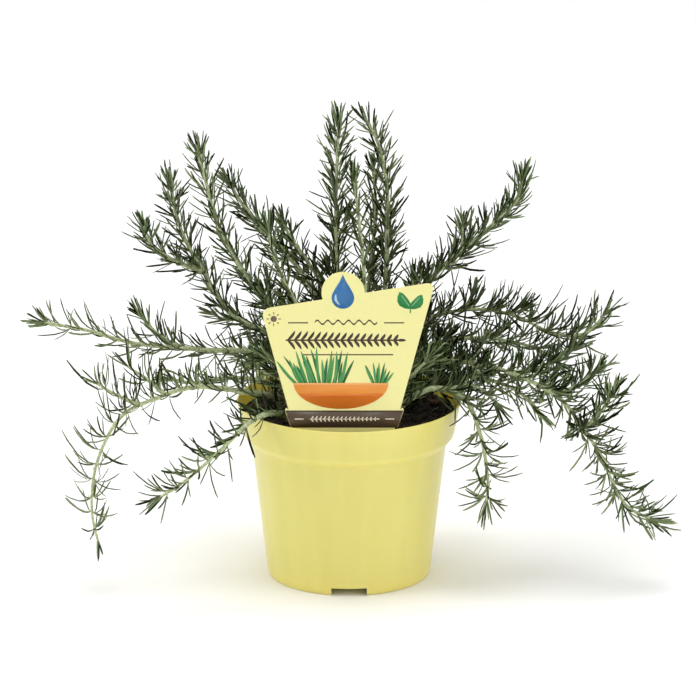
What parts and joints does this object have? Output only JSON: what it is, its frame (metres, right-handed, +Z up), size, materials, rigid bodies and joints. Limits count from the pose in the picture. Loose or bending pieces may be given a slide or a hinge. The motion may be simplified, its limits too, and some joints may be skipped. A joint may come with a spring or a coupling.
{
  "type": "potted rosemary plant",
  "caption": "Trailing rosemary in a tapered plastic nursery pot with a rim band, with a slanting card label standing behind the front of the rim.",
  "frame": {"origin": "on the pot's axis, on the surface that the pot stands on", "axes": "+Z up along the pot's axis, -Y the way that the label faces, +X to the right of a viewer who faces the label"},
  "size_m": [0.3757, 0.1983, 0.28],
  "materials": {
    "pot": "injection-moulded polypropylene, pale yellow, satin",
    "soil": "moist potting compost of peat and fine bark, dark brown, crumbly",
    "bark": "composted pine bark, rough",
    "label": "die-cut polypropylene card, printed, satin",
    "stem": "young rosemary shoots, pale and downy, brown and woody near the soil",
    "leaves": "rosemary needles, dark grey-green above and pale felted below"
  },
  "bodies": {
    "root": {"pot": "pot", "potting_soil": "soil", "plant_label": "label", "bark_chip_1": "bark", "bark_chip_2": "bark", "bark_chip_3": "bark", "bark_chip_4": "bark", "bark_chip_5": "bark", "stem_left_level": "stem", "leaves_left_level": "leaves", "stem_left_arch": "stem", "leaves_left_arch": "leaves", "stem_left_front": "stem", "leaves_left_front": "leaves", "stem_left_low": "stem", "leaves_left_low": "leaves", "stem_upper_left": "stem", "leaves_upper_left": "leaves", "stem_upper_left_tall": "stem", "leaves_upper_left_tall": "leaves", "stem_upper_left_back": "stem", "leaves_upper_left_back": "leaves", "stem_crown_left": "stem", "leaves_crown_left": "leaves", "stem_crown_front_left": "stem", "leaves_crown_front_left": "leaves", "stem_centre_tall": "stem", "leaves_centre_tall": "leaves", "stem_centre_front": "stem", "leaves_centre_front": "leaves", "stem_centre_right_tall": "stem", "leaves_centre_right_tall": "leaves", "stem_centre_right_back": "stem", "leaves_centre_right_back": "leaves", "stem_upper_right": "stem", "leaves_upper_right": "leaves", "stem_right_level": "stem", "leaves_right_level": "leaves", "stem_right_arch": "stem", "leaves_right_arch": "leaves", "stem_right_middle": "stem", "leaves_right_middle": "leaves", "stem_right_low": "stem", "leaves_right_low": "leaves", "stem_right_front": "stem", "leaves_right_front": "leaves", "stem_inner_left": "stem", "leaves_inner_left": "leaves", "stem_inner_right": "stem", "leaves_inner_right": "leaves", "stem_rear_trailing": "stem", "leaves_rear_trailing": "leaves", "stem_rear_left": "stem", "leaves_rear_left": "leaves", "stem_rear_right": "stem", "leaves_rear_right": "leaves", "stem_rear_low_left": "stem", "leaves_rear_low_left": "leaves", "stem_rear_low_right": "stem", "leaves_rear_low_right": "leaves"}
  },
  "joints": []
}
